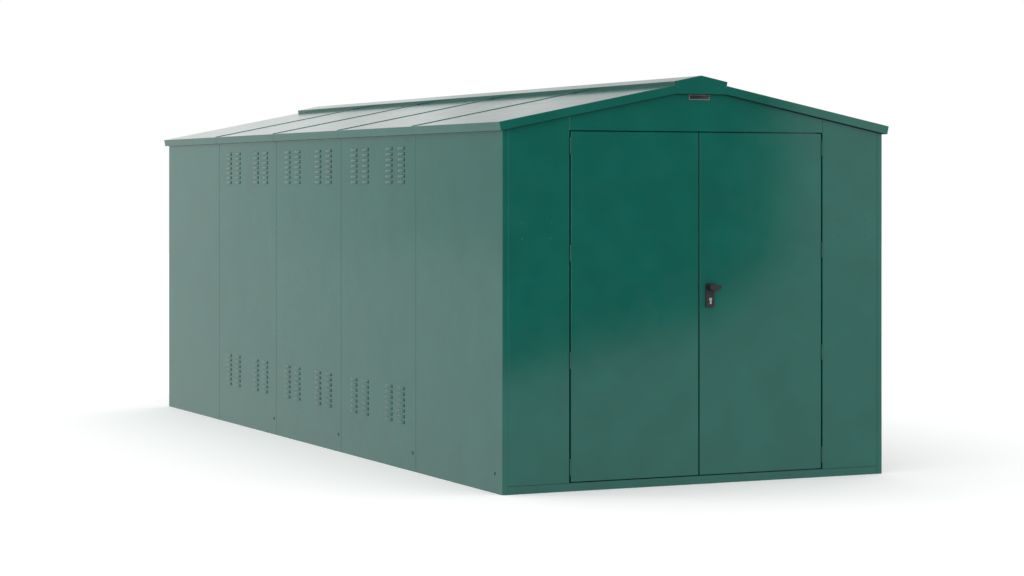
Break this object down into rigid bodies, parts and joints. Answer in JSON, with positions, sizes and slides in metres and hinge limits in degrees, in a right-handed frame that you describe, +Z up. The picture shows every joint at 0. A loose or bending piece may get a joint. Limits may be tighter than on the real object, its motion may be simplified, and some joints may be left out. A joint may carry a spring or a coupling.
{
  "type": "metal garage",
  "caption": "Rectangular garage of folded painted steel pans with a low pitched roof, ridge cap, framed front and two outward hinged door leaves with a lever handle.",
  "frame": {"origin": "middle of the plan of the walls, on the ground", "axes": "+X to the right wall seen from outside the doors, -Y out through the doors, +Z up; the ridge runs along Y"},
  "size_m": [2.27, 5.5642, 2.0881],
  "materials": {
    "wall_paint": "satin",
    "trim_paint": "satin",
    "roof_paint": "satin",
    "door_paint": "satin",
    "hinge_steel": "satin",
    "black_metal": "satin",
    "lock_steel": "satin",
    "plate_finish": "satin"
  },
  "bodies": {
    "shell": {"left_wall_panel_1": "wall_paint", "left_wall_panel_2": "wall_paint", "left_wall_panel_3": "wall_paint", "left_wall_panel_4": "wall_paint", "left_wall_panel_5": "wall_paint", "right_wall_panel_1": "wall_paint", "right_wall_panel_2": "wall_paint", "right_wall_panel_3": "wall_paint", "right_wall_panel_4": "wall_paint", "right_wall_panel_5": "wall_paint", "rear_wall_left": "wall_paint", "rear_wall_right": "wall_paint", "door_sill": "wall_paint", "front_post_left": "wall_paint", "front_post_right": "wall_paint", "front_gable": "wall_paint", "roof_left_1": "roof_paint", "roof_left_2": "roof_paint", "roof_left_3": "roof_paint", "roof_left_4": "roof_paint", "roof_left_5": "roof_paint", "roof_right_1": "roof_paint", "roof_right_2": "roof_paint", "roof_right_3": "roof_paint", "roof_right_4": "roof_paint", "roof_right_5": "roof_paint", "ridge_cap": "roof_paint", "ridge_end_front": "trim_paint", "ridge_end_rear": "trim_paint", "left_frame_hinges": "hinge_steel", "right_frame_hinges": "hinge_steel", "name_plate": "plate_finish"},
    "left_leaf": {"left_door": "door_paint", "left_door_rails": "door_paint", "left_door_hinges": "hinge_steel"},
    "right_leaf": {"right_door": "door_paint", "right_door_rails": "door_paint", "right_door_hinges": "hinge_steel", "lock_plate": "black_metal", "lock_cylinder": "lock_steel"},
    "handle": {"door_handle": "black_metal"}
  },
  "joints": [
    {"name": "left_door_hinge", "type": "hinge", "parent": "shell", "child": "left_leaf", "pos_m": [-0.735, -2.7515, 0.92], "axis": [0, 0, -1], "range_deg": [0, 110]},
    {"name": "right_door_hinge", "type": "hinge", "parent": "shell", "child": "right_leaf", "pos_m": [0.735, -2.7515, 0.92], "axis": [0, 0, 1], "range_deg": [0, 110]},
    {"name": "handle_turn", "type": "hinge", "parent": "right_leaf", "child": "handle", "pos_m": [0.0615, -2.754, 1.003], "axis": [0, 1, 0], "range_deg": [0, 45]}
  ]
}
